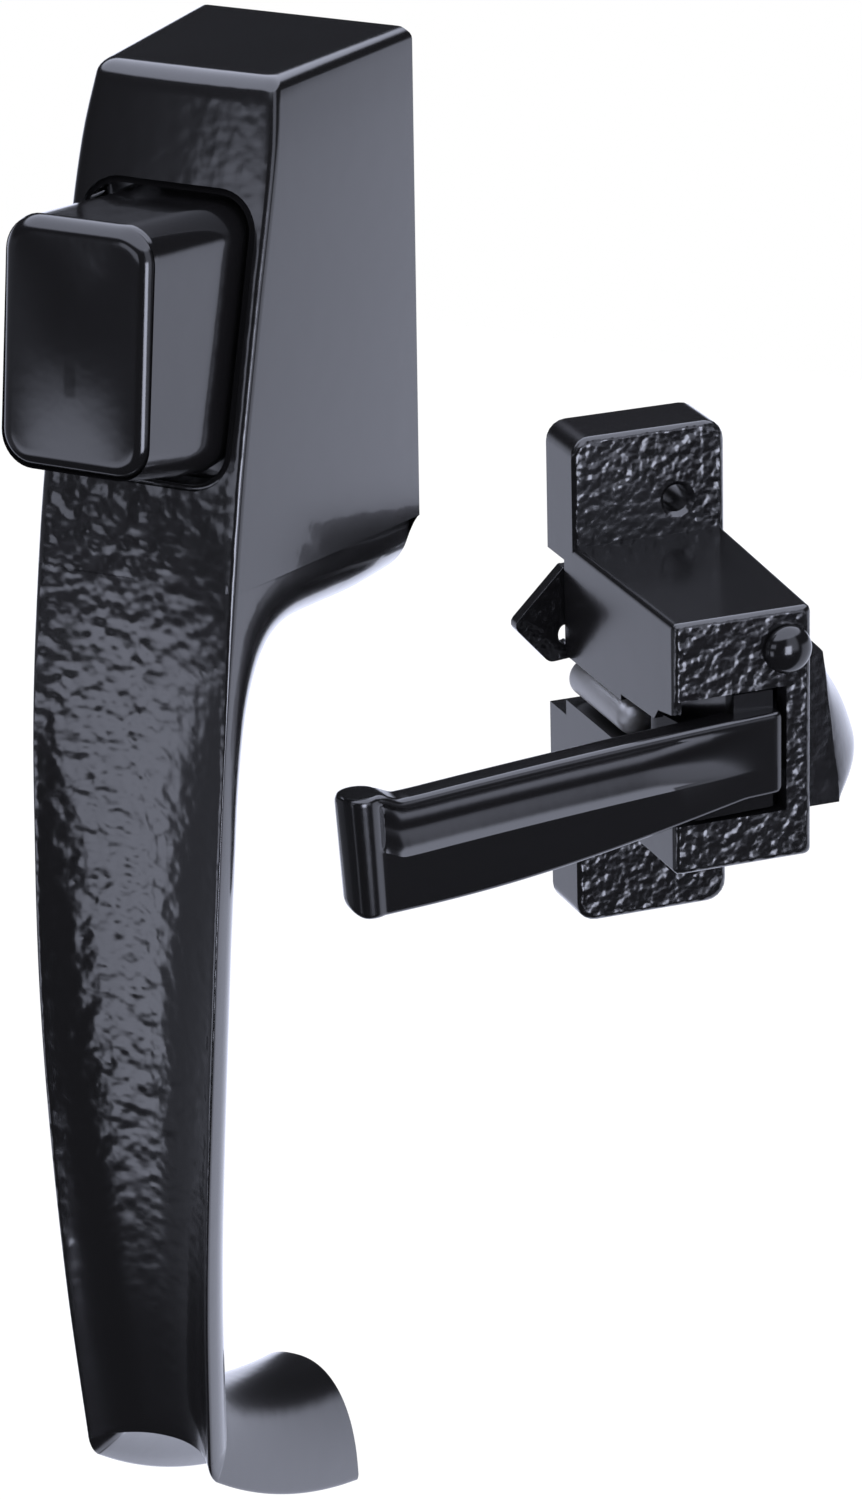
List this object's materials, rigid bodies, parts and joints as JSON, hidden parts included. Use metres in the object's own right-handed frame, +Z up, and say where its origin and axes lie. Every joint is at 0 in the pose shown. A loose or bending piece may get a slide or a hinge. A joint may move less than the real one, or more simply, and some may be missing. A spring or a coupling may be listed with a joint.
{
  "type": "screen door latch",
  "caption": "Push-button screen door latch: outside grip handle with sprung button and push rod, and inside lever latch with sliding beak bolt and night lock",
  "frame": {"origin": "middle of the top wall of the outside handle's back rim, on the plane of the door's outside face", "axes": "+X to the right seen from outside, +Y into the door, +Z up; the inside half stands to the right of the handle, turned about Z as a pair laid out for a picture"},
  "size_m": [0.0624, 0.104, 0.1704],
  "materials": {
    "hammered_enamel": "gloss black enamel with a hammered skin",
    "gloss_enamel": "smooth gloss black enamel",
    "zinc_steel": "zinc plated steel",
    "spring_steel": "oiled spring steel"
  },
  "bodies": {
    "root": {"handle_casting": "hammered_enamel", "retainer_plate": "zinc_steel", "retainer_screw_upper": "zinc_steel", "retainer_screw_lower": "zinc_steel", "button_spring": "spring_steel", "latch_case": "hammered_enamel", "hinge_pin": "zinc_steel", "hinge_pin_ring": "spring_steel", "lever_spring": "spring_steel", "stop_pin": "zinc_steel", "lock_washer": "spring_steel"},
    "button": {"push_button": "gloss_enamel", "push_rod": "zinc_steel", "rod_pin": "zinc_steel"},
    "lever": {"lever": "gloss_enamel", "drive_pin": "zinc_steel"},
    "bolt": {"bolt": "hammered_enamel"},
    "lock": {"lock_lever": "hammered_enamel", "lock_shaft": "gloss_enamel"}
  },
  "joints": [
    {"name": "button_press", "type": "slide", "parent": "root", "child": "button", "axis": [0, 1, 0], "range_m": [0, 0.005], "stiffness_N_per_m": 900, "springref_m": -0.004, "deforming": ["button_spring"]},
    {"name": "lever_swing", "type": "hinge", "parent": "root", "child": "lever", "pos_m": [0.03263, 0.02816, -0.0849], "axis": [0, 0, -1], "range_deg": [0, 30], "stiffness_Nm_per_rad": 0.12, "springref_deg": -22.92},
    {"name": "bolt_slide", "type": "slide", "parent": "root", "child": "bolt", "axis": [-0.6508, -0.7593, 0], "range_m": [0, 0.0042]},
    {"name": "lock_turn", "type": "hinge", "parent": "root", "child": "lock", "pos_m": [0.01755, 0.04859, -0.0726], "axis": [0.7593, -0.6508, 0], "range_deg": [0, 24]}
  ],
  "couplings": [
    {"joint": "bolt_slide", "follows": "lever_swing", "m_per_rad": 0.0077063}
  ]
}
